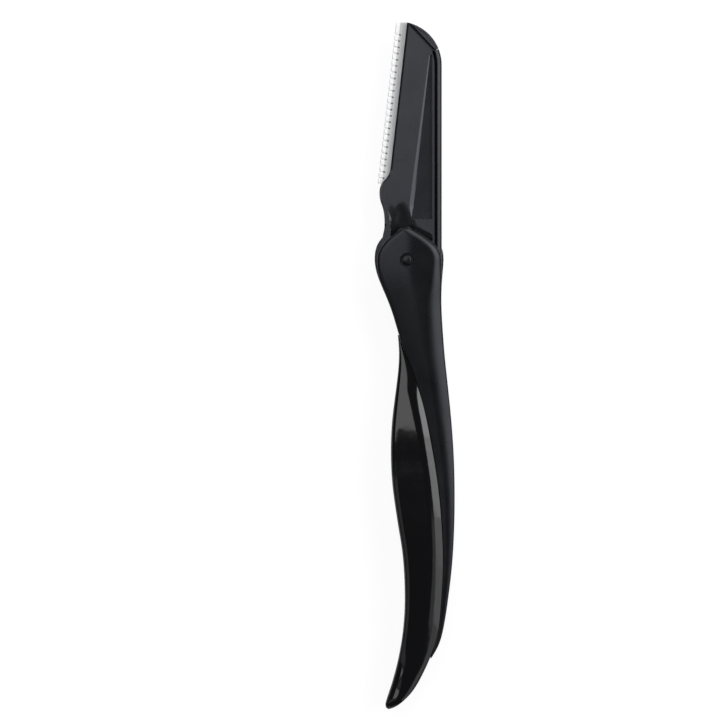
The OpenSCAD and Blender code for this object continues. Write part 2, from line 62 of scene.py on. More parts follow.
print("pieces in the frame:", ", ".join(sorted(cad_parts)))

# %% [markdown]
# Blender measures in metres, but a razor is easier to think of in millimetres. So every size
# below is in millimetres, and is multiplied by MM at the moment when a mesh is made. Operators
# act on all that is selected, so a helper that selects one piece alone is the first one needed.

# %% Units and selection
import math

import bpy
import numpy as np
from mathutils import Vector

MM = 0.001


def pick(piece):
    """Leaves one piece selected and active, in object mode."""
    if bpy.context.object and bpy.context.object.mode != "OBJECT":
        bpy.ops.object.mode_set(mode="OBJECT")
    bpy.ops.object.select_all(action="DESELECT")
    piece.select_set(True)
    bpy.context.view_layer.objects.active = piece


def modify(piece, kind, **settings):
    """Adds a modifier with these settings and applies it."""
    pick(piece)
    modifier = piece.modifiers.new(kind.title(), kind)
    for setting, value in settings.items():
        setattr(modifier, setting, value)
    bpy.ops.object.modifier_apply(modifier=modifier.name)


def box_mm(node):
    """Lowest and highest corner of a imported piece, in millimetres."""
    low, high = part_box(node)
    return np.array(low) / MM, np.array(high) / MM


slot_back = box_mm("inner_frame")[0][2]
slot_front = box_mm("inner_frame")[1][2]
mid_z = (slot_back + slot_front) / 2
half_slot = slot_front - mid_z
tail_len = -box_mm("front_leaf")[0][1]
cheek_t = slot_back
print(f"slot from {slot_back:.2f} to {slot_front:.2f} mm, tail {tail_len:.1f} mm below the pivot")

# %% [markdown]
# ## Camera
# The photograph looks straight down on the razor, so the camera hangs over it and looks along
# -Z, with +Y up. A long lens keeps the perspective as flat as the photograph's. One pixel is
# 0.2186 mm, and the pivot's pixel says how far the middle of the frame is from the origin.

# %% Camera
photo_px = 720
mm_per_px = 0.2186
pivot_px = (406.7, 260.5)
lens = 250
sensor = 36

camera_data = bpy.data.cameras.new("camera")
camera_data.lens = lens
camera_data.sensor_width = sensor
camera_data.clip_start = 0.01
camera_data.clip_end = 10
camera = bpy.data.objects.new("camera", camera_data)
bpy.context.scene.collection.objects.link(camera)
view_width = photo_px * mm_per_px
middle_x = (photo_px / 2 - pivot_px[0]) * mm_per_px
middle_y = (pivot_px[1] - photo_px / 2) * mm_per_px
camera.location = Vector((middle_x, middle_y, mid_z + view_width * lens / sensor)) * MM
bpy.context.scene.camera = camera
print("camera hangs", round(camera.location.z, 3), "m up")

# %% [markdown]
# ## Light
# Black plastic shows its shape only by what it mirrors. The glossy leaf shows a soft wedge where
# it leans towards the top of the picture and a bright band where its shoulder leans to the right,
# and it is dark where it looks straight up. So one very large lamp hangs above the top left, with
# its edge clear of what the level faces mirror. A row of lamps stands at the right, each dimmer
# than the one above it, so the band fades towards the tail. Three smaller lamps light the rims. A
# lamp's power is worked out from how bright its face should be, so it can be made larger without
# changing the look of its reflection.

# %% Lamps
def softbox(name, centre, turn, size, radiance):
    """A rectangular lamp with an evenly bright face: centre and size in millimetres."""
    data = bpy.data.lights.new(name, "AREA")
    data.shape = "RECTANGLE"
    data.size = size[0] * MM
    data.size_y = size[1] * MM
    data.energy = radiance * math.pi * data.size * data.size_y
    lamp = bpy.data.objects.new(name, data)
    lamp.location = Vector(centre) * MM
    lamp.rotation_euler = [math.radians(a) for a in turn]
    bpy.context.scene.collection.objects.link(lamp)
    return lamp


softbox("top_left_lamp", (-690, 1350, 1400), (0, 0, 0), (1620, 2700), 2)
softbox("left_lamp", (-500, -170, 650), (0, -90, 0), (900, 180), 0.4)
row_x, row_z, row_tall = 500, 445, 490
# From y, to y and the brightness of each lamp in the row at the right
right_row = [(40, 400, 4.8), (-40, 40, 3.3), (-120, -40, 1.85), (-240, -120, 1.55), (-800, -240, 0.9)]
for number, (low, high, radiance) in enumerate(right_row):
    centre = (row_x, (low + high) / 2, row_z)
    softbox(f"right_lamp_{number}", centre, (0, 90, 0), (row_tall, high - low), radiance)
softbox("high_right_lamp", (500, -190, 900), (0, 90, 0), (420, 260), 0.55)
softbox("back_right_lamp", (520, 925, 600), (0, 0, 0), (620, 950), 4)

# %% [markdown]
# The air round the razor is a faint cool grey, so what looks away from the lamps isn't quite
# black. A brighter world would do this too, but black plastic mirrors the whole of it. So only
# the camera sees plain white behind the razor: a Light Path node tells its rays from the others.

# %% World
air_colour = (0.06, 0.062, 0.067, 1)
world = bpy.data.worlds.new("studio")
world.use_nodes = True
bpy.context.scene.world = world
world_nodes = world.node_tree.nodes
world_links = world.node_tree.links
air = world_nodes["Background"]
air.inputs["Color"].default_value = air_colour
air.inputs["Strength"].default_value = 1
backdrop = world_nodes.new("ShaderNodeBackground")
backdrop.inputs["Color"].default_value = (1, 1, 1, 1)
camera_ray = world_nodes.new("ShaderNodeLightPath")
seen = world_nodes.new("ShaderNodeMixShader")
world_links.new(camera_ray.outputs["Is Camera Ray"], seen.inputs["Fac"])
world_links.new(air.outputs[0], seen.inputs[1])
world_links.new(backdrop.outputs[0], seen.inputs[2])
world_links.new(seen.outputs[0], world_nodes["World Output"].inputs["Surface"])
bpy.context.scene.view_settings.view_transform = "Standard"
print("world nodes:", [made.name for made in world_nodes])

# %% [markdown]
# ## Floor
# The floor is plain white. It is a normal matt surface to every ray but the camera's own: to the
# camera it is mostly an even white, mixed with a share of the lit surface, so the soft shadow of
# the razor stays. Nothing on the razor is lit more by this.

# %% Floor
floor_size = 4000
floor_gap = 0.02
floor_white = 0.8
even_light = 1.1
even_share = 0.82
floor_z = cad_box[0].z - floor_gap * MM
bpy.ops.mesh.primitive_plane_add(size=floor_size * MM, location=(0, 0, floor_z))
floor = bpy.context.object
floor.name = "floor"
bpy.ops.object.transform_apply(location=True)
paper = bpy.data.materials.new("white_paper")
paper.use_nodes = True
tree = paper.node_tree
tree.nodes.clear()
lit = tree.nodes.new("ShaderNodeBsdfDiffuse")
lit.inputs["Color"].default_value = (floor_white, floor_white, floor_white, 1)
even = tree.nodes.new("ShaderNodeEmission")
even.inputs["Strength"].default_value = even_light
rays = tree.nodes.new("ShaderNodeLightPath")
part = tree.nodes.new("ShaderNodeMath")
part.operation = "MULTIPLY"
part.inputs[1].default_value = even_share
mix = tree.nodes.new("ShaderNodeMixShader")
out = tree.nodes.new("ShaderNodeOutputMaterial")
tree.links.new(rays.outputs["Is Camera Ray"], part.inputs[0])
tree.links.new(part.outputs[0], mix.inputs["Fac"])
tree.links.new(lit.outputs[0], mix.inputs[1])
tree.links.new(even.outputs[0], mix.inputs[2])
tree.links.new(mix.outputs[0], out.inputs["Surface"])
floor.data.materials.append(paper)
print("floor at z =", round(floor_z / MM, 3), "mm")

# %% [markdown]
# ## Reading outlines from the frame
# The shells and leaves keep the outlines of their solids. A ray that comes in from the side
# finds where a solid's side is at one height. The solids have flat facets, a couple of
# millimetres long, which a glossy skin would show as steps, so the row of hits is smoothed with
# a bell-shaped average that is a little wider than a facet.

# %% Outlines
ray_start = 40
spacing = 0.25
blur = 1.3
ray_lift = 0.1


def edge_of(node, y, side):
    """x of a node's outer side at the height y, met from the left (-1) or the right (1)."""
    z = slot_front + ray_lift if node.startswith("front") else slot_back - ray_lift
    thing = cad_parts[node]
    found, place, _, _ = thing.ray_cast(Vector((side * ray_start, y, z)) * MM, Vector((-side, 0, 0)))
    if not found:
        raise ValueError(f"no side of {node} at y = {y}")
    return place.x / MM


def side_line(node, side, top, low):
    """A node's side from top to low as a smooth row of points (x, y)."""
    ys = np.linspace(top, low, int((top - low) / spacing) + 1)
    xs = np.array([edge_of(node, y, side) for y in ys])
    reach = int(3 * blur / spacing)
    weights = np.exp(-0.5 * (np.arange(-reach, reach + 1) * spacing / blur) ** 2)
    before = 2 * xs[0] - xs[reach:0:-1]
    after = 2 * xs[-1] - xs[-2:-reach - 2:-1]
    smooth = np.convolve(np.concatenate([before, xs, after]), weights / weights.sum(), "valid")
    return np.column_stack([smooth, ys])


def distance(points, line):
    """Shortest distance from each point to a line of straight stretches."""
    start, step = line[:-1], np.diff(line, axis=0)
    length = np.maximum((step**2).sum(1), 1e-12)
    along_step = ((points[:, None] - start) * step).sum(2) / length
    nearest = start + np.clip(along_step, 0, 1)[..., None] * step
    return np.sqrt(((points[:, None] - nearest) ** 2).sum(2)).min(1)


def across(line, y):
    """x of a line at the height y."""
    return np.interp(-y, -line[:, 1], line[:, 0])


leaf_top = box_mm("front_leaf")[1][1]
notch = box_mm("front_shell")[0][1]
inset = 0.02
crease = side_line("front_leaf", 1, leaf_top - inset, -tail_len + inset)
leaf_left = side_line("front_leaf", -1, leaf_top - inset, -tail_len + inset)
print(f"leaf from y = {leaf_top:.1f}, shell ends at y = {notch:.1f}, {len(crease)} points a side")

# %% [markdown]
# ## Skins
# A skin is a loft: a row of closed sections, each a loop of points, joined by strips of faces.
# A grid has just the right cells for that, so the skin starts as a grid primitive with one
# column for each point of a section and one row for each section. Its corners are moved to the
# points, the two long sides are merged where they meet, and the open ends are filled. Modelling
# it by hand from a cube would take hundreds of loops to hold these slow curves, so the
# arithmetic does it.

# %% The loft
merge_mm = 0.0008
print("a loft merges points closer than", merge_mm, "mm")


def loft(name, sections):
    """A closed skin through a row of sections, each a list of (x, y, z) in millimetres."""
    rows, columns = len(sections), len(sections[0])
    bpy.ops.object.select_all(action="DESELECT")
    bpy.ops.mesh.primitive_grid_add(x_subdivisions=columns, y_subdivisions=rows - 1, size=2)
    piece = bpy.context.object
    piece.name = name
    flat = np.empty(len(piece.data.vertices) * 3)
    piece.data.vertices.foreach_get("co", flat)
    flat = flat.reshape(-1, 3)
    column = np.rint((flat[:, 0] + 1) / 2 * columns).astype(int) % columns
    row = np.rint((flat[:, 1] + 1) / 2 * (rows - 1)).astype(int)
    piece.data.vertices.foreach_set("co", (np.array(sections)[row, column] * MM).ravel())
    pick(piece)
    bpy.ops.object.mode_set(mode="EDIT")
    bpy.ops.mesh.select_all(action="SELECT")
    bpy.ops.mesh.remove_doubles(threshold=merge_mm * MM)
    bpy.ops.mesh.select_all(action="DESELECT")
    bpy.ops.mesh.select_mode(type="EDGE")
    bpy.ops.mesh.select_non_manifold()
    bpy.ops.mesh.fill_holes(sides=0)
    bpy.ops.mesh.select_all(action="SELECT")
    bpy.ops.mesh.normals_make_consistent(inside=False)
    bpy.ops.mesh.select_mode(type="VERT")
    bpy.ops.object.mode_set(mode="OBJECT")
    return piece


def along(rows, share):
    """Smooth curve through rows of (share of the tail's length, value)."""
    table = np.array(rows, float)
    at, value = table[:, 0], table[:, 1]
    slope = np.gradient(value, at)
    i = np.clip(np.searchsorted(at, share) - 1, 0, len(at) - 2)
    width = at[i + 1] - at[i]
    f = np.clip((share - at[i]) / width, 0, 1)
    return (value[i] * (1 + 2 * f) * (1 - f) ** 2 + value[i + 1] * f * f * (3 - 2 * f)
            + width * f * (1 - f) * ((1 - f) * slope[i] - f * slope[i + 1]))


def ease(value, start, end):
    """0 before start, 1 after end, and smooth between them."""
    f = np.clip((value - start) / (end - start), 0, 1)
    return f * f * (3 - 2 * f)


def round_drop(gap, width, drop):
    """How far a surface has fallen at a gap from its side, on a quarter of an ellipse."""
    f = 1 - np.clip(gap / width, 0, 1)
    return drop * (1 - np.sqrt(1 - f * f))


def slope_drop(gap, width, drop, power=2):
    """The same on a parabola, which ends at a slope and not upright."""
    return drop * (1 - np.clip(gap / width, 0, 1)) ** power


def blended(a, b, power=3):
    """Two drops together: the deeper one counts, with a soft change between them."""
    return (a**power + b**power) ** (1 / power)


# %% [markdown]
# Every section of a half has the same parts: over the outside from its left foot to its right
# foot, then back inside. A foot stands on the slot's plane where the slot is open, and on the
# middle plane where the wall closes the handle. The foot's small rounding makes the fine parting
# line along the side, as on a real moulding.

# %% A section of a half
columns = 56
foot_round = 0.12
slot_round = 0.3
wall_t = 1.15
wall_share = 0.42
round_share = 0.2
corner_share = 0.3
column_share = 0.5 - 0.5 * np.cos(np.linspace(0, math.pi, columns + 1))


def section(y, left, right, tops, feet, ceiling, side):
    """One loop of points. tops are heights above the middle plane, feet the two foot levels."""
    rounds = [slot_round if foot > 0 else foot_round for foot in feet]
    wall = min(wall_t, wall_share * (right - left))
    small = [min(r, round_share * (right - left)) for r in rounds]
    corner = [(corner_share * r, corner_share * z) for r, z in zip(small, rounds)]
    points = [(left + wall, feet[0]), (left + small[0], feet[0]),
              (left + corner[0][0], feet[0] + corner[0][1]),
              (left, feet[0] + rounds[0]), (left, (feet[0] + rounds[0] + tops[0]) / 2)]
    points += [(left + (right - left) * u, top) for u, top in zip(column_share, tops)]
    points += [(right, (feet[1] + rounds[1] + tops[-1]) / 2), (right, feet[1] + rounds[1]),
               (right - corner[1][0], feet[1] + corner[1][1]), (right - small[1], feet[1]),
               (right - wall, feet[1]), (right - wall, ceiling), (left + wall, ceiling)]
    return [(x, y, mid_z + side * z) for x, z in points]


print("points in a section:", len(section(0, 0, 1, np.ones(columns + 1), (0, 0), 0, 1)))

# %% [markdown]
# ## Matt shells
# A shell runs from the cheek that holds the pivot, over the right side of the grip, to a notch
# near the tail. The cheeks end in a pointed arch. The long right side rolls over broadly, and
# the edge along the leaf is a small crisp round that stands proud of the leaf.

# %% Shell outlines
arch_powers = {"front_shell": (2.1, 2.15), "back_shell": (2.8, 2.7)}
apex_round_share = 0.035
arch_steps = 34
print("the front arch is as full as the powers", arch_powers["front_shell"])


def arch(reach, top, power):
    """One side of the pointed arch as points from the apex down to the pivot's height."""
    ys = top * np.sin(np.linspace(math.radians(89), 0, arch_steps))
    room = 1 - (ys / top) ** power
    width = np.sqrt(room * (room + apex_round_share) / (1 + apex_round_share))
    return np.column_stack([reach * width, ys])


def shell_lines(node):
    """Left and right side of a shell, from the apex to the notch."""
    top = box_mm(node)[1][1]
    left_low = side_line(node, -1, 0, leaf_top + inset)
    left_crease = side_line(node, -1, leaf_top - 2 * inset, notch + inset)
    right_low = side_line(node, 1, 0, notch + inset)
    left_arch = arch(left_low[0, 0], top, arch_powers[node][0])[:-1]
    right_arch = arch(right_low[0, 0], top, arch_powers[node][1])[:-1]
    return (np.concatenate([left_arch, left_low, left_crease]),
            np.concatenate([right_arch, right_low]))


# %% [markdown]
# The height over the middle plane is the cheek's own height, less what the two sides have
# fallen. The fall is read from the true distance to each side, so the rounding keeps its width
# round the arch too. What changes along the handle is set by a few rows: how far down the tail,
# as a share of its length, and the value there.

# %% Shape of a shell's face
shoulder_gap = 0.05
shoulder_y = box_mm("spine_rail")[0][1] - shoulder_gap
station_step = 0.35
step_gap = 0.004

# Height as a share of the cheek's thickness
shell_height_rows = [(-0.1, 0.9), (-0.05, 0.95), (0, 0.985), (0.05, 1), (0.12, 0.95), (0.2, 0.85),
                     (0.28, 0.74), (0.36, 0.65), (0.45, 0.6), (0.6, 0.59), (0.75, 0.52), (0.886, 0.38)]
# Width and slope of the roll along the right side
right_width_rows = [(-0.1, 1.9), (0, 2), (0.1, 3.5), (0.2, 4), (0.7, 3.4), (0.886, 2)]
right_slope_rows = [(-0.1, 0.8), (0, 0.7), (0.05, 0.56), (0.1, 0.48), (0.2, 0.42), (0.7, 0.4),
                    (0.886, 0.38)]
right_width_share = 0.8
rim_width = 0.4
rim_drop = 0.25
left_width = 1.0
left_drop = 0.6
crease_width = 0.35
crease_drop = 0.14
crease_fade = 3
least_height_share = 0.12
ridge_share = 0.45
ridge_soft = 1.6
left_lean = 0.15
right_lean = 0.13
inner_fall = 0.18


def shell_high(share):
    """Height of a shell's face above the slot's side."""
    return cheek_t * min(float(along(shell_height_rows, share)), 1)


def bow(x, left, right):
    """How far the front face has fallen on the two sides of its soft ridge."""
    past = left + ridge_share * (right - left) - x
    bend = np.sqrt(past**2 + ridge_soft**2)
    return left_lean * (bend + past) / 2 + right_lean * (bend - past) / 2


def shell_tops(x, y, left, right, gap_left, gap_right, front):
    """Heights of a shell's face over the middle plane."""
    share = -y / tail_len
    high = shell_high(share)
    mixed = ease(-y, -leaf_top, -leaf_top + crease_fade)
    fall_left = round_drop(gap_left, left_width + mixed * (crease_width - left_width),
                           left_drop + mixed * (crease_drop - left_drop))
    width = min(float(along(right_width_rows, share)), right_width_share * (right - left))
    roll = slope_drop(gap_right, width, width * float(along(right_slope_rows, share)) / 2)
    fall_right = roll + round_drop(gap_right, rim_width, rim_drop * high / cheek_t)
    fall = blended(fall_left, fall_right) + (bow(x, left, right) if front else 0)
    return half_slot + np.maximum(high - fall, least_height_share * high)


# %% [markdown]
# A shell's sections stand 0.35 mm apart, and closer together round the arch. At the shoulder the
# wall starts, so two sections stand almost in one place there, one on each side of the step.

# %% Shell skins
seat_end = -3


def shell(node, side):
    """One matt shell as a skin: side is 1 for the front and -1 for the back."""
    left_line, right_line = shell_lines(node)
    stops = list(left_line[:arch_steps - 1, 1])
    stops += [0, shoulder_y / 2, shoulder_y + step_gap, shoulder_y - step_gap]
    stops += list(np.arange(shoulder_y - station_step, leaf_top + station_step / 2, -station_step))
    stops += [leaf_top + inset, leaf_top - 2 * inset]
    stops += list(np.arange(leaf_top - station_step, notch + station_step / 2, -station_step))
    stops += [notch + inset]
    sections = []
    for y in stops:
        left, right = across(left_line, y), across(right_line, y)
        x = left + (right - left) * column_share
        points = np.column_stack([x, np.full_like(x, y)])
        tops = shell_tops(x, y, left, right, distance(points, left_line),
                          distance(points, right_line), side > 0)
        foot = 0 if y < shoulder_y else half_slot
        ceiling = half_slot + (inner_fall * float(ease(y, seat_end, 0)) if side < 0 else 0)
        sections.append(section(y, left, right, tops, (half_slot, foot), ceiling, side))
    return loft(node.replace("shell", "shell_skin"), sections)


front_shell = shell("front_shell", 1)
back_shell = shell("back_shell", -1)
print("front shell:", len(front_shell.data.polygons), "faces, size", front_shell.dimensions / MM)

# %% [markdown]
# ## Glossy leaves
# A leaf is a long, smooth blade of polished plastic. Towards its top it dips down beside the
# shell, so it leans to the top of the picture there. Along the shell its shoulder falls away in
# a slope that starts as nothing and grows, and this slope mirrors the lamp as a bright band with
# a pointed start.

# %% Shape of a leaf's face
# Height as a share of the cheek's thickness
leaf_height_rows = [(0.166, 0.36), (0.25, 0.61), (0.3, 0.755), (0.33, 0.848), (0.345, 0.888),
                    (0.355, 0.911), (0.365, 0.928), (0.375, 0.939), (0.39, 0.948), (0.41, 0.952),
                    (0.44, 0.955), (0.62, 0.97), (0.78, 0.82), (0.86, 0.68), (0.9, 0.62),
                    (0.95, 0.58), (0.985, 0.53), (1, 0.4)]
# Width of the left side's round, and of the flat slope that it turns into at the tail
leaf_left_rows = [(0.166, 1), (0.3, 1.6), (0.42, 1.5), (0.7, 1.3), (0.85, 1.2), (0.9, 1.4), (1, 1.4)]
tail_facet_rows = [(0.8, 1.2), (0.88, 1.6), (0.93, 1.75), (0.965, 2.2), (1, 2)]
tail_facet_slope = 0.34
leaf_left_drop = 1.1
# Width and depth of the shoulder along the shell
shoulder_width_rows = [(0.166, 3), (0.55, 3), (0.7, 3.6), (0.85, 4.2), (1, 3)]
shoulder_rows = [(0.166, 0.03), (0.24, 0.12), (0.265, 0.22), (0.285, 0.4), (0.305, 0.52),
                 (0.333, 0.62), (0.4, 0.73), (0.48, 0.8), (0.62, 0.86), (0.78, 0.88), (0.9, 0.95),
                 (0.94, 1.15), (0.97, 1), (1, 0.5)]
facet_from_share, facet_full_share = 0.84, 0.92
round_from_share, round_full_share = 0.84, 0.93
leaf_round_share = 0.5
slope_share = 0.6
leaf_crown = 0.16
crown_share = 0.55
least_leaf = 0.06


def leaf_tops(x, y, left, right, gap_left, gap_right, front):
    """Heights of a leaf's face over the middle plane."""
    share = -y / tail_len
    high = cheek_t * min(float(along(leaf_height_rows, share)), 1)
    size = right - left
    fall_left = round_drop(gap_left, min(float(along(leaf_left_rows, share)), leaf_round_share * size),
                           leaf_left_drop * high / cheek_t)
    facet = min(float(along(tail_facet_rows, max(share, tail_facet_rows[0][0]))), slope_share * size)
    facet_grown = float(ease(-y, facet_from_share * tail_len, facet_full_share * tail_len))
    fall_left = fall_left + slope_drop(gap_left, facet, facet_grown * tail_facet_slope * facet, 1)
    full = float(along(shoulder_width_rows, share))
    width = min(full, slope_share * size)
    drop = float(along(shoulder_rows, share)) * width / full
    ended = ease(-y, round_from_share * tail_len, round_full_share * tail_len)
    fall_right = ((1 - ended) * slope_drop(gap_right, width, drop)
                  + ended * round_drop(gap_right, width, drop))
    crown = leaf_crown * ((x - left) / size - crown_share) ** 2 * 4 * high / cheek_t if front else 0
    return half_slot + np.maximum(high - blended(fall_left, fall_right) - crown, least_leaf)


half_way_top = leaf_tops(0, -tail_len / 2, -1, 1, 1, 1, True)
print(f"half way down, a leaf's face is {half_way_top:.2f} mm above the middle plane")

# %% [markdown]
# The leaf's plan closes in a round at the tail's tip, and its height falls there too, so the tip
# is a rounded nose and no blunt step. Below the slot the two halves meet in a wall, and the last
# stretch is solid.

# %% Leaf skins
tail_round = 1.1
tail_fall = 2.4
tail_end_share = 0.3
near_level = 0.05
leaf_start_gap = 0.1
tip_steps = 14
tip_end_angle = 88
most_closed = 0.9995
leaf_wall_share = 0.03
solid_tail_share = 0.935
slot_floor = [v.co.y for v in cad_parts["back_leaf"].data.vertices
              if v.co.z / MM > slot_back + ray_lift]
slot_end = max(slot_floor) / MM
leaf_wall_top = notch + leaf_wall_share * tail_len
solid_tail = -solid_tail_share * tail_len


def leaf(node, side):
    """One glossy leaf as a skin, rounded off at the tail."""
    tip_from = -tail_len + tail_round
    stops = [leaf_top - inset] + list(np.arange(leaf_top - leaf_start_gap, tip_from, -station_step))
    for level in (slot_end, leaf_wall_top, solid_tail):
        stops = [y for y in stops if abs(y - level) > near_level]
        stops += [level + step_gap, level - step_gap]
    angles = np.linspace(0, math.radians(tip_end_angle), tip_steps)
    stops += list(-tail_len + tail_round * (1 - np.sin(angles)))
    stops = sorted(stops, reverse=True)
    far = np.clip((tip_from - leaf_left[:, 1]) / tail_round, 0, most_closed)
    closing = np.sqrt(1 - far**2)
    centre = (leaf_left[:, 0] + crease[:, 0]) / 2
    left_line = np.column_stack([centre + (leaf_left[:, 0] - centre) * closing, leaf_left[:, 1]])
    right_line = np.column_stack([centre + (crease[:, 0] - centre) * closing, crease[:, 1]])
    sections = []
    for y in stops:
        left, right = across(left_line, y), across(right_line, y)
        x = left + (right - left) * column_share
        points = np.column_stack([x, np.full_like(x, y)])
        tops = leaf_tops(x, y, left, right, distance(points, left_line),
                         distance(points, right_line), side > 0)
        fallen = min(max((tail_fall - tail_len - y) / tail_fall, 0), 1)
        tops = tops * (tail_end_share + (1 - tail_end_share) * math.sqrt(1 - fallen**2))
        feet = (0 if y < slot_end else half_slot, 0 if y < leaf_wall_top else half_slot)
        ceiling = 0 if y < solid_tail else half_slot
        sections.append(section(y, left, right, tops, feet, ceiling, side))
    return loft(node.replace("leaf", "leaf_skin"), sections)


front_leaf = leaf("front_leaf", 1)
back_leaf = leaf("back_leaf", -1)
print("front leaf:", len(front_leaf.data.polygons), "faces, size", front_leaf.dimensions / MM)

# %% [markdown]
# ## Pivot pin and its hole
# The pin is a turned part, so it is made as on a lathe: its outline is drawn point by point from
# one corner and spun once round the axis. The tool that cuts the hole in the cheek is turned the
# same way, with a flared mouth that leaves a rounded rim.

# %% Turning
turn_steps = 96
near_mm = 0.001
print("a turned piece has", turn_steps, "steps")


def turned(name, profile):
    """A solid of revolution round the pivot axis. The profile is a list of (radius, height)."""
    bpy.ops.object.select_all(action="DESELECT")
    bpy.ops.mesh.primitive_plane_add(size=1 * MM)
    piece = bpy.context.object
    piece.name = name
    bpy.ops.object.mode_set(mode="EDIT")
    bpy.ops.mesh.select_all(action="SELECT")
    bpy.ops.mesh.merge(type="CENTER")
    bpy.ops.transform.translate(value=Vector((profile[0][0], 0, profile[0][1])) * MM)
    for (r0, z0), (r1, z1) in zip(profile, profile[1:]):
        step = Vector((r1 - r0, 0, z1 - z0)) * MM
        bpy.ops.mesh.extrude_vertices_move(TRANSFORM_OT_translate={"value": step})
    bpy.ops.mesh.select_all(action="SELECT")
    bpy.ops.mesh.spin(steps=turn_steps, angle=2 * math.pi, center=(0, 0, 0), axis=(0, 0, 1))
    bpy.ops.mesh.select_all(action="SELECT")
    bpy.ops.mesh.remove_doubles(threshold=near_mm * MM)
    bpy.ops.mesh.normals_make_consistent(inside=False)
    bpy.ops.object.mode_set(mode="OBJECT")
    return piece


# %% [markdown]
# The pin's lower end has a chamfer, its shank ends below the face, and the narrower nose that
# shows has a small round edge and a flat dome.

# %% The pin
pin_low, pin_high = box_mm("pivot_pin")
pin_r = pin_high[0]
pin_chamfer = 0.2
shank_top = 6.1
nose_r = 0.98
nose_edge = 0.08
nose_side = pin_high[2] - 0.26
dome_rise = 0.2
dome = [(nose_r * math.sin(math.radians(a)), pin_high[2] - dome_rise * (1 - math.cos(math.radians(a))))
        for a in range(0, 61, 10)]
pin_profile = [(0, pin_low[2]), (pin_r - pin_chamfer, pin_low[2]), (pin_r, pin_low[2] + pin_chamfer),
               (pin_r, shank_top), (nose_r, shank_top)]
pin_profile += [(nose_r - nose_edge + nose_edge * math.cos(math.radians(a)),
                 nose_side + nose_edge * math.sin(math.radians(a))) for a in range(0, 76, 15)]
pin_profile += [(r, z) for r, z in reversed(dome) if r < nose_r - nose_edge]
pivot_pin = turned("pivot_pin_turned", pin_profile)
print("pin:", len(pivot_pin.data.polygons), "faces")

# %% [markdown]
# The ring round the nose is the clearance of the hole in the front cheek. A Boolean modifier cuts
# it with the turned tool. The back cheek gets a plain hole that the pin is pressed into.

# %% The pin's hole
hole_gap = 0.05
hole_r = pin_r + hole_gap
rim_round = 0.06
mouth_flare = 0.3
overrun = 1
front_sides = [across(line, 0) for line in shell_lines("front_shell")]
face_z = slot_front + shell_high(0) - float(bow(0, *front_sides))
hole_profile = [(0, slot_front - overrun), (hole_r, slot_front - overrun), (hole_r, face_z - rim_round)]
hole_profile += [(hole_r + rim_round * (1 - math.cos(math.radians(a))),
                  face_z - rim_round + rim_round * math.sin(math.radians(a))) for a in range(15, 91, 15)]
hole_profile += [(hole_r + rim_round + mouth_flare, face_z + overrun), (0, face_z + overrun)]
seat_profile = [(0, pin_low[2]), (pin_r, pin_low[2]), (pin_r, slot_back + overrun),
                (0, slot_back + overrun)]


def cut(piece, tool):
    """Takes the tool's solid out of a piece and removes the tool."""
    modify(piece, "BOOLEAN", object=tool, operation="DIFFERENCE", solver="EXACT")
    bpy.data.objects.remove(tool)


cut(front_shell, turned("hole_cutter", hole_profile))
cut(back_shell, turned("seat_cutter", seat_profile))
print("front shell after the hole:", len(front_shell.data.polygons), "faces")

# %% [markdown]
# ## Head
# The holder and the guard have crisp shapes that their solids already hold. So each is copied, its
# loose triangles are merged and flat areas joined, and every sharp edge gets a small bevel. That
# bevel is what draws the thin light lines round the panel and the pocket.

# %% Bevelled copies
flat_angle = 0.3
bevel_from = 25
smooth_under = 35


def merged_copy(node, name):
    """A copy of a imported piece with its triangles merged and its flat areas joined."""
    piece = bpy.data.objects.new(name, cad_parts[node].data.copy())
    bpy.context.scene.collection.objects.link(piece)
    piece.data.materials.clear()
    pick(piece)
    bpy.ops.object.mode_set(mode="EDIT")
    bpy.ops.mesh.select_all(action="SELECT")
    bpy.ops.mesh.remove_doubles(threshold=near_mm * MM)
    bpy.ops.mesh.dissolve_limited(angle_limit=math.radians(flat_angle))
    bpy.ops.mesh.normals_make_consistent(inside=False)
    bpy.ops.object.mode_set(mode="OBJECT")
    return piece


def small_bevels(piece, width, crease=None):
    """Rounds every sharp edge a little and shades the rest flat or smooth as it is."""
    modify(piece, "BEVEL", width=width * MM, segments=2, limit_method="ANGLE",
           angle_limit=math.radians(bevel_from), miter_outer="MITER_ARC")
    bpy.ops.object.shade_smooth_by_angle(angle=math.radians(smooth_under))
    if crease:
        print(crease(piece.data), "creases")
    modify(piece, "WEIGHTED_NORMAL", keep_sharp=True, weight=80)


blade_holder = merged_copy("blade_holder", "holder_moulding")
print("holder's copy:", len(blade_holder.data.polygons), "faces")

# %% [markdown]
# The holder's outline has a chamfer along the blade and the heel, and a rounder edge at the tip.
# Only these stretches get them, so their edges are found by place: both ends lie on a face of the
# holder, and a test says on which side of a line they are.

# %% Holder's chamfers
chamfer_w = 0.42
tip_round_w = 0.4
holder_low, holder_high = box_mm("blade_holder")
level_slack = 0.01
level_z, wall_z = 0.9, 0.1
# The side along the blade: its x at the pivot's height, its lean and a little to spare
blade_side_x, blade_side_lean, blade_side_spare = -5.84, 0.114, 0.5
heel_low_y, heel_high_y, heel_x = 6.4, 20, -3.2
# A line near the tip, by a spot on it and the way it faces: edges past it are rounded
tip_spot = (0.3, 51.8)
tip_way = (0.69, 0.725)
tip_clear = 0.3


def side_x(y):
    """x of the holder's side by the blade, or of its heel, with a little to spare."""
    return blade_side_x + blade_side_lean * y + blade_side_spare if y > heel_high_y else heel_x


def face_ends(edge, mesh):
    """The ends of an edge in millimetres if both lie on a face of the holder, or nothing."""
    ends = [mesh.vertices[i].co / MM for i in edge.vertices]
    gaps = [min(abs(e.z - holder_low[2]), abs(e.z - holder_high[2])) for e in ends]
    return ends if max(gaps) < level_slack else []


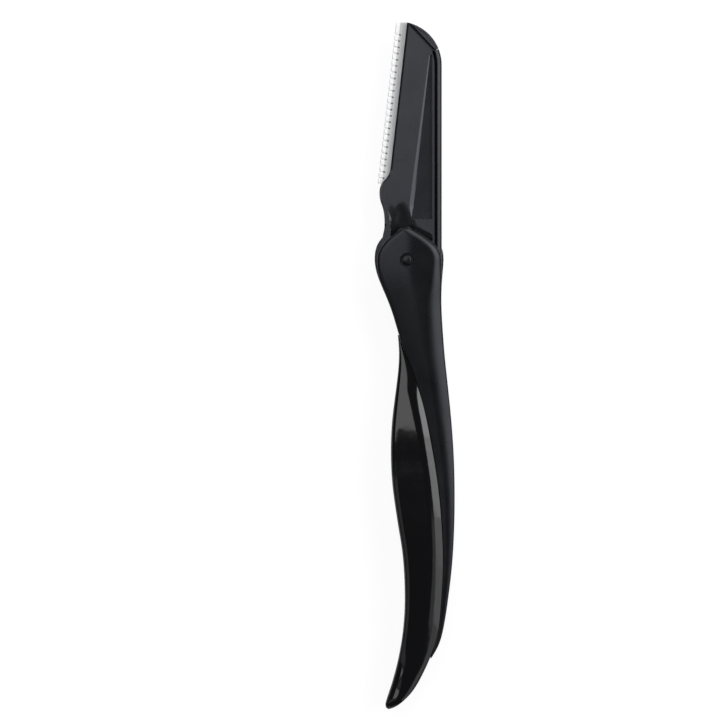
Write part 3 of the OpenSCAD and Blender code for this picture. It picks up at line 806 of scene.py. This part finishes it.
def chamfer_here(edge, mesh):
    """True for the outline's edges along the blade and the heel, on both faces."""
    ends = face_ends(edge, mesh)
    return bool(ends) and all(heel_low_y < e.y and e.x < side_x(e.y) for e in ends)


def past_tip_line(spot):
    """How far a point is past the line near the tip."""
    return (spot.x - tip_spot[0]) * tip_way[0] + (spot.y - tip_spot[1]) * tip_way[1]


def tip_here(edge, mesh):
    """True for the outline's edges round the tip, on both faces."""
    ends = face_ends(edge, mesh)
    return bool(ends) and all(past_tip_line(e) > tip_clear for e in ends)


def chosen_bevel(piece, test, width, segments):
    """Bevels the edges between a level face and a wall that pass a test."""
    mesh = piece.data
    levels = set(key for face in mesh.polygons if abs(face.normal.z) > level_z for key in face.edge_keys)
    walls = set(key for face in mesh.polygons if abs(face.normal.z) < wall_z for key in face.edge_keys)
    pick(piece)
    bpy.ops.object.mode_set(mode="EDIT")
    bpy.ops.mesh.select_mode(type="EDGE")
    bpy.ops.mesh.select_all(action="DESELECT")
    bpy.ops.object.mode_set(mode="OBJECT")
    count = 0
    for edge in mesh.edges:
        edge.select = edge.key in levels and edge.key in walls and test(edge, mesh)
        count += edge.select
    bpy.ops.object.mode_set(mode="EDIT")
    bpy.ops.mesh.bevel(offset=width * MM, segments=segments, affect="EDGES")
    bpy.ops.mesh.select_mode(type="VERT")
    bpy.ops.object.mode_set(mode="OBJECT")
    return count


# %% [markdown]
# The raised panel's long edge along the pocket is the one that catches the light. Its two ends
# are read from the mesh before any bevel changes it.

# %% Panel's edge
panel_least_x = -3
panel_least_length = 15
panel_lean = (0.02, 0.4)


def panel_edge_ends():
    """The two ends of the panel's long edge along the pocket, on the front face."""
    for edge in blade_holder.data.edges:
        ends = [blade_holder.data.vertices[i].co / MM for i in edge.vertices]
        level = all(abs(e.z - holder_high[2]) < level_slack and e.x > panel_least_x for e in ends)
        step = ends[1] - ends[0]
        long_enough = step.length > panel_least_length
        if level and long_enough and panel_lean[0] < abs(step.x / step.y) < panel_lean[1]:
            return sorted(ends, key=lambda e: e.y)


panel_low, panel_high = panel_edge_ends()
print("panel edge from", panel_low, "to", panel_high)
print(chosen_bevel(blade_holder, chamfer_here, chamfer_w, 1), "edges chamfered")
print(chosen_bevel(blade_holder, tip_here, tip_round_w, 4), "tip edges rounded")

# %% [markdown]
# The panel's edge falls off in a slope that leans to the right. It is widest just above the
# pocket's lower corner and narrows towards the top. A wedge cuts it, with only three sections,
# because thin slivers of faces would shade badly. The slope's own edges are marked sharp, so that
# its light doesn't spread over the flat faces beside it.

# %% Panel's sloped edge
# Width of the slope, from the edge's lower end (0) to its upper end (1)
panel_slope_rows = [(0, 0.1), (0.09, 0.8), (1, 0.22)]
panel_ends = (0.002, 0.998)
panel_slope = 0.43
panel_over = 0.2
panel_above = 0.5
slope_x, slope_z = (0.3, 0.45), (0.85, 0.95)
sharp_under_dot = 0.985


def panel_tool(side):
    """A wedge along the panel's edge, cut away on one face of the holder."""
    face = holder_high[2] - mid_z
    sections = []
    for share in (panel_ends[0], panel_slope_rows[1][0], panel_ends[1]):
        spot = panel_low.lerp(panel_high, share)
        width = float(along(panel_slope_rows, share))
        corners = ((-width, 0), (panel_over, -panel_slope * (width + panel_over)),
                   (panel_over, panel_above), (-width, panel_above))
        sections.append([(spot.x + dx, spot.y, mid_z + side * (face + dz)) for dx, dz in corners])
    return loft("panel_cutter", sections)


def is_slope(normal):
    """True for a face that leans to the right as the panel's slope does."""
    return slope_x[0] < normal.x < slope_x[1] and slope_z[0] < abs(normal.z) < slope_z[1]


def panel_creases(mesh):
    """Keeps the edges between the panel's slope and its neighbours crisp, and counts them."""
    sides = {}
    for face in mesh.polygons:
        for key in face.edge_keys:
            sides.setdefault(key, []).append(face.normal)
    count = 0
    for edge in mesh.edges:
        pair = sides.get(edge.key, [])
        if len(pair) != 2 or is_slope(pair[0]) == is_slope(pair[1]):
            continue
        if pair[0].dot(pair[1]) < sharp_under_dot:
            edge.use_edge_sharp = True
            count += 1
    return count


for side in (-1, 1):
    cut(blade_holder, panel_tool(side))
print("holder with its slopes:", len(blade_holder.data.polygons), "faces")

# %% [markdown]
# Below the pocket the neck is hollowed out on both faces. The hollow starts softly, deepens
# towards the pivot and ends in a steep side at the left. At the right a narrow relief follows
# the arch of the cheek. The tool is a block whose lower face is a grid shaped by a formula.

# %% Neck hollow
hollow_low, hollow_high = (-5.2, 4.3), (5.9, 14.2)
hollow_cells = (104, 92)
# Where the hollow starts, how much higher in its middle, and how wide that middle is
start_y, start_rise, middle_x, middle_reach = 11.5, 1.7, -0.9, (0.2, 2.4)
hollow_slope, soft_run, deepest = 0.23, 2.6, 1.1
# Each side: x at its upper end, the y of that end, its lean, how far it runs and its width
left_wall_x, left_wall_y, left_wall_lean, left_wall_run, left_wall_w = -4.05, 11.7, 0.1, 5, 0.5
right_wall_x, right_wall_y, right_wall_lean, right_wall_run, right_wall_w = 1.3, 11, 0.35, 4, 2.4
# The arch's side as a straight line, and the relief along it
arch_lean, arch_y, arch_share = 0.535, 7.44, 0.882
relief_slope, relief_w, relief_run = 0.28, 1.1, 2
relief_from, relief_to = (-1.2, 0.2), (5.2, 5.8)
clear_of_face = 0.004


def hollow_depth(x, y):
    """Depth of the hollow below the holder's face, a hair above it where there is none."""
    start = start_y + start_rise * (1 - ease(np.abs(x - middle_x), *middle_reach))
    run = np.maximum(start - y, 0)
    soft = np.where(run < soft_run, run**2 / (2 * soft_run), run - soft_run / 2)
    left_side = left_wall_x + left_wall_lean * np.clip(left_wall_y - y, 0, left_wall_run)
    right_side = right_wall_x + right_wall_lean * np.clip(right_wall_y - y, 0, right_wall_run)
    kept = (ease(x, left_side, left_side + left_wall_w)
            * (1 - ease(x, right_side - right_wall_w, right_side)))
    beside_arch = (y + arch_lean * x - arch_y) * arch_share
    relief = (relief_slope * np.clip(relief_w - beside_arch, 0, relief_run) * ease(x, *relief_from)
              * (1 - ease(x, *relief_to)))
    return np.minimum(np.maximum(hollow_slope * soft * kept, relief), deepest) - clear_of_face


def hollow_tool(side):
    """A block whose inner face is the hollow's surface on one face of the holder."""
    xs = np.linspace(hollow_low[0], hollow_high[0], hollow_cells[0])
    face = holder_high[2] - mid_z
    outside = mid_z + side * (face + overrun)
    sections = []
    for y in np.linspace(hollow_low[1], hollow_high[1], hollow_cells[1]):
        depth = hollow_depth(xs, np.full_like(xs, y))
        sections.append([(x, y, mid_z + side * (face - d)) for x, d in zip(xs, depth)]
                        + [(xs[-1], y, outside), (xs[0], y, outside)])
    return loft("hollow_cutter", sections)


for side in (-1, 1):
    cut(blade_holder, hollow_tool(side))
print("holder with its hollows:", len(blade_holder.data.polygons), "faces")

# %% [markdown]
# The guard is folded from thin sheet and combed along its edge. Its solid has every tooth, so the
# copy only needs a very small bevel that rounds the sheet's edges.

# %% Guard
guard_bevel = 0.04
blade_guard = merged_copy("blade_guard", "guard_comb")
small_bevels(blade_guard, guard_bevel)
print(blade_guard.name, len(blade_guard.data.polygons), "faces")

# %% [markdown]
# The rail is a bar with its own section: its two faces slope down to the outer side, with a
# channel on the inner side for the holder's tongue. The section follows the spine and then the
# round of the tip, so this is a loft too, with its sections across the path.

# %% Rail
rail_low, rail_high = box_mm("spine_rail")
spine_x = rail_high[0]
# Radius of the round at the tip, and how far round it the rail and its groove go, in degrees
tip_r = 9.5
rail_angle = 21.375
groove_angle = 21.5
straight_steps, round_steps = 24, 14
tip_x = spine_x - tip_r
tip_y = rail_high[1] - tip_r * math.sin(math.radians(rail_angle))


def along_spine(name, profile, low_y, end_angle):
    """A loft of a profile, rows of (distance inward, height), up the spine and round the tip."""
    path = [((spine_x, y), (-1, 0)) for y in np.linspace(low_y, tip_y, straight_steps)[:-1]]
    for angle in np.radians(np.linspace(0, end_angle, round_steps)):
        ray = np.array([math.cos(angle), math.sin(angle)])
        path.append((np.array([tip_x, tip_y]) + tip_r * ray, -ray))
    return loft(name, [[(spot[0] + inward * way[0], spot[1] + inward * way[1], mid_z + z)
                        for inward, z in profile] for spot, way in path])


# Points of the rail's upper half, from the channel round the inner side to the outer side
rail_profile = [(0.45, 0.59), (1, 0.59), (1, 1.38), (0.97, 1.46), (0.88, 1.5), (0.84, 1.49), (0.3, 1.2),
                (0.2, 1.12), (0.1, 1), (0.03, 0.84), (0, 0.66)]
rail_profile += [(inward, -z) for inward, z in reversed(rail_profile)]
spine_rail = along_spine("rail_moulding", rail_profile, rail_low[1], rail_angle)
print("rail:", len(spine_rail.data.polygons), "faces")

# %% [markdown]
# The floor of the groove beside the rail is a V, so it stays dark from above. It is the holder's
# last cut, so the holder gets its small bevels after it.

# %% Groove
groove_near, groove_mid, groove_far = 1.02, 1.3, 1.58
groove_floor, groove_side, groove_open = 0.24, 0.52, 0.9
holder_bevel = 0.06
for side in (-1, 1):
    groove = [(groove_near, side * groove_side), (groove_mid, side * groove_floor),
              (groove_far, side * groove_side), (groove_far, side * groove_open),
              (groove_near, side * groove_open)]
    cut(blade_holder, along_spine("groove_cutter", groove, rail_low[1] - overrun, groove_angle))
small_bevels(blade_holder, holder_bevel, crease=panel_creases)
print(blade_holder.name, len(blade_holder.data.polygons), "faces")

# %% [markdown]
# The skins, the pin and the rail are shaded smooth, except across edges that are really sharp.

# %% Smooth shading
skin_smooth_under = 38
for piece in (front_shell, back_shell, front_leaf, back_leaf, pivot_pin, spine_rail):
    pick(piece)
    bpy.ops.object.shade_smooth_by_angle(angle=math.radians(skin_smooth_under))
    print("smooth:", piece.name)

# %% [markdown]
# ## Finishes
# Each finish is a small graph of nodes on the piece's own coordinates, so a pattern stays where
# it is when the head turns.

# %% Material helpers
def new_material(name, colour, roughness, metallic=0.0):
    """A material with the colour, roughness and metal set on the shader itself."""
    made = bpy.data.materials.new(name)
    made.use_nodes = True
    shader = made.node_tree.nodes["Principled BSDF"]
    shader.inputs["Base Color"].default_value = (*colour, 1)
    shader.inputs["Roughness"].default_value = roughness
    shader.inputs["Metallic"].default_value = metallic
    return made


def add_node(made, kind, inputs=None, **settings):
    """Adds a node, sets its inputs and its settings, and returns it."""
    added = made.node_tree.nodes.new(kind)
    for setting, value in settings.items():
        setattr(added, setting, value)
    for key, value in (inputs or {}).items():
        if isinstance(value, bpy.types.NodeSocket):
            made.node_tree.links.new(value, added.inputs[key])
        else:
            added.inputs[key].default_value = value
    return added


def place(made, stretch=(1, 1, 1), turn=0.0):
    """The piece's own coordinates, stretched and turned round Z."""
    spot = add_node(made, "ShaderNodeTexCoord").outputs["Object"]
    mapping = add_node(made, "ShaderNodeMapping", {"Vector": spot, "Scale": stretch,
                                                   "Rotation": (0, 0, math.radians(turn))})
    return mapping.outputs["Vector"]


def grain(made, size, detail=2.0, stretch=(1, 1, 1), turn=0.0):
    """Noise whose lumps are about size millimetres across, from 0 to 1."""
    settings = {"Vector": place(made, stretch, turn), "Scale": 1 / (size * MM), "Detail": detail,
                "Roughness": 0.55}
    return add_node(made, "ShaderNodeTexNoise", settings).outputs["Fac"]


def spread(made, value, low, high, start=0.3, end=0.7):
    """Maps a noise value from start..end to low..high."""
    settings = {"Value": value, "From Min": start, "From Max": end, "To Min": low, "To Max": high}
    return add_node(made, "ShaderNodeMapRange", settings).outputs["Result"]


def feed(made, socket, value):
    """Links a value to a socket of the shader."""
    made.node_tree.links.new(value, made.node_tree.nodes["Principled BSDF"].inputs[socket])


def bumped(made, height, depth):
    """Relief of a given depth in millimetres."""
    settings = {"Height": height, "Distance": depth * MM, "Strength": 1}
    return add_node(made, "ShaderNodeBump", settings).outputs["Normal"]


def two_tone(made, value, dark, light):
    """A colour between dark and light."""
    inputs = {0: value, 6: (*dark, 1), 7: (*light, 1)}
    return add_node(made, "ShaderNodeMix", inputs, data_type="RGBA").outputs[2]


print("materials so far:", [made.name for made in bpy.data.materials])

# %% [markdown]
# The matt plastics have a fine grain from their mould, which spreads the light that they mirror.
# One function makes them all: noise of two sizes gives faint clouds in the colour and the gloss,
# and a shallow relief. The cheeks are the darkest and the head is a greyer plastic. What they
# mirror is faintly blue, so the tint of the gloss is set on the shader itself.

# %% Matt plastics
cool_gloss = (0.87, 0.89, 1, 1)
cloud_size, fine_size, fine_depth, gloss_change = 6, 0.22, 0.005, 0.03


def matt_plastic(name, dark, light, roughness, mirror=0.5):
    """Finely grained plastic with slight clouds and a faintly blue gloss. mirror is its IOR level."""
    made = new_material(name, dark, roughness)
    shader = made.node_tree.nodes["Principled BSDF"]
    shader.inputs["Specular IOR Level"].default_value = mirror
    shader.inputs["Specular Tint"].default_value = cool_gloss
    clouds = grain(made, cloud_size, 3)
    fine = grain(made, fine_size, 2)
    feed(made, "Base Color", two_tone(made, spread(made, clouds, 0, 1), dark, light))
    feed(made, "Roughness", spread(made, clouds, roughness - gloss_change, roughness + gloss_change))
    feed(made, "Normal", bumped(made, fine, fine_depth))
    return made


matt_black = matt_plastic("matt_black_plastic", (0.0022, 0.0024, 0.003), (0.0036, 0.0038, 0.0046),
                          0.29, 0.3)
head_grey = matt_plastic("head_grey_plastic", (0.007, 0.0073, 0.0082), (0.0095, 0.0099, 0.011),
                         0.25, 0.47)
rail_black = matt_plastic("rail_black_plastic", (0.006, 0.0062, 0.0072), (0.008, 0.0082, 0.0092),
                          0.22, 0.25)
pin_black = matt_plastic("pin_black_plastic", (0.005, 0.0052, 0.006), (0.007, 0.0072, 0.0082),
                         0.3, 0.3)
frame_black = matt_plastic("frame_black_plastic", (0.012, 0.012, 0.013), (0.015, 0.015, 0.016), 0.5)
washer_nylon = matt_plastic("natural_nylon", (0.5, 0.49, 0.45), (0.56, 0.55, 0.51), 0.5)
print("matt plastics, the darkest is", matt_black.name)

# %% [markdown]
# The leaves are polished plastic, almost black, and all that shows on them is what they mirror. A
# real moulding is never quite flat: a faint ripple a few millimetres long bends its reflections.

# %% Gloss black
gloss_black = new_material("gloss_black_plastic", (0.0035, 0.0035, 0.004), 0.08)
ripple = grain(gloss_black, 5, 1.5)
clouds = grain(gloss_black, 4, 2)
feed(gloss_black, "Roughness", spread(gloss_black, clouds, 0.07, 0.1))
feed(gloss_black, "Normal", bumped(gloss_black, ripple, 0.05))
print("gloss black has", len(gloss_black.node_tree.nodes), "nodes")

# %% [markdown]
# The blade and the guard have fine lines along their length, so their noise is stretched along
# the cutting edge. Past a line parallel to that edge the metal is brighter: there are the blade's
# honed edge and the guard's teeth.

# %% Steel
edge_turn = 6.5
honed_from = 7.3
line_size, line_stretch, line_depth, line_change = 0.35, (1, 0.05, 1), 0.003, 0.08


def steel(name, dark, light, roughness, metallic):
    """Ground steel: fine lines run along the cutting edge."""
    made = new_material(name, light, roughness, metallic)
    lines = grain(made, line_size, 3, line_stretch, edge_turn)
    feed(made, "Base Color", two_tone(made, spread(made, lines, 0, 1), dark, light))
    feed(made, "Roughness", spread(made, lines, roughness - line_change, roughness + line_change))
    feed(made, "Normal", bumped(made, lines, line_depth))
    return made


def beyond_line(made, line, step=0.06):
    """1 on the outer side of a line along the cutting edge, line millimetres from the pivot."""
    away = add_node(made, "ShaderNodeSeparateXYZ", {0: place(made, (1, 1, 1), edge_turn)}).outputs[0]
    return spread(made, away, 1, 0, -(line + step) * MM, -(line - step) * MM)


def lighter_beyond(made, line, colour):
    """Gives the metal another colour on the outer side of the line."""
    ground = made.node_tree.nodes["Principled BSDF"].inputs["Base Color"].links[0].from_socket
    inputs = {0: beyond_line(made, line), 6: ground, 7: (*colour, 1)}
    feed(made, "Base Color", add_node(made, "ShaderNodeMix", inputs, data_type="RGBA").outputs[2])


blade_steel = steel("blade_steel", (0.1, 0.103, 0.11), (0.16, 0.163, 0.17), 0.3, 0.9)
lighter_beyond(blade_steel, honed_from, (0.6, 0.602, 0.61))
guard_steel = steel("guard_steel", (0.6, 0.603, 0.608), (0.7, 0.703, 0.708), 0.5, 0.1)
lighter_beyond(guard_steel, honed_from, (0.97, 0.97, 0.975))
print("steels:", blade_steel.name, "and", guard_steel.name)

# %% [markdown]
# ## Putting it together
# Each new piece rides on the body of the solid that it stands for and gets the finish listed
# beside it. The blade and the hidden solids keep their meshes and only get a material.

# %% Bodies, slots and materials
new_pieces = [
    (front_shell, "front_shell", "handle", "matt_black", matt_black),
    (back_shell, "back_shell", "handle", "matt_black", matt_black),
    (front_leaf, "front_leaf", "handle", "gloss_black", gloss_black),
    (back_leaf, "back_leaf", "handle", "gloss_black", gloss_black),
    (pivot_pin, "pivot_pin", "handle", "pin_black", pin_black),
    (blade_holder, "blade_holder", "head", "head_grey", head_grey),
    (spine_rail, "spine_rail", "head", "rail_black", rail_black),
    (blade_guard, "blade_guard", "head", "guard_steel", guard_steel),
]
for piece, stands_for, body, slot, finish in new_pieces:
    piece.data.materials.clear()
    piece.data.materials.append(finish)
    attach(piece, body)
    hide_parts(stands_for)

kept_nodes = {"inner_frame": frame_black, "front_washer": washer_nylon, "back_washer": washer_nylon,
              "blade": blade_steel}
for name, finish in kept_nodes.items():
    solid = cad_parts[name]
    solid.data.materials.clear()
    solid.data.materials.append(finish)
print(len(new_pieces), "new pieces and", len(kept_nodes), "solids with a new finish")
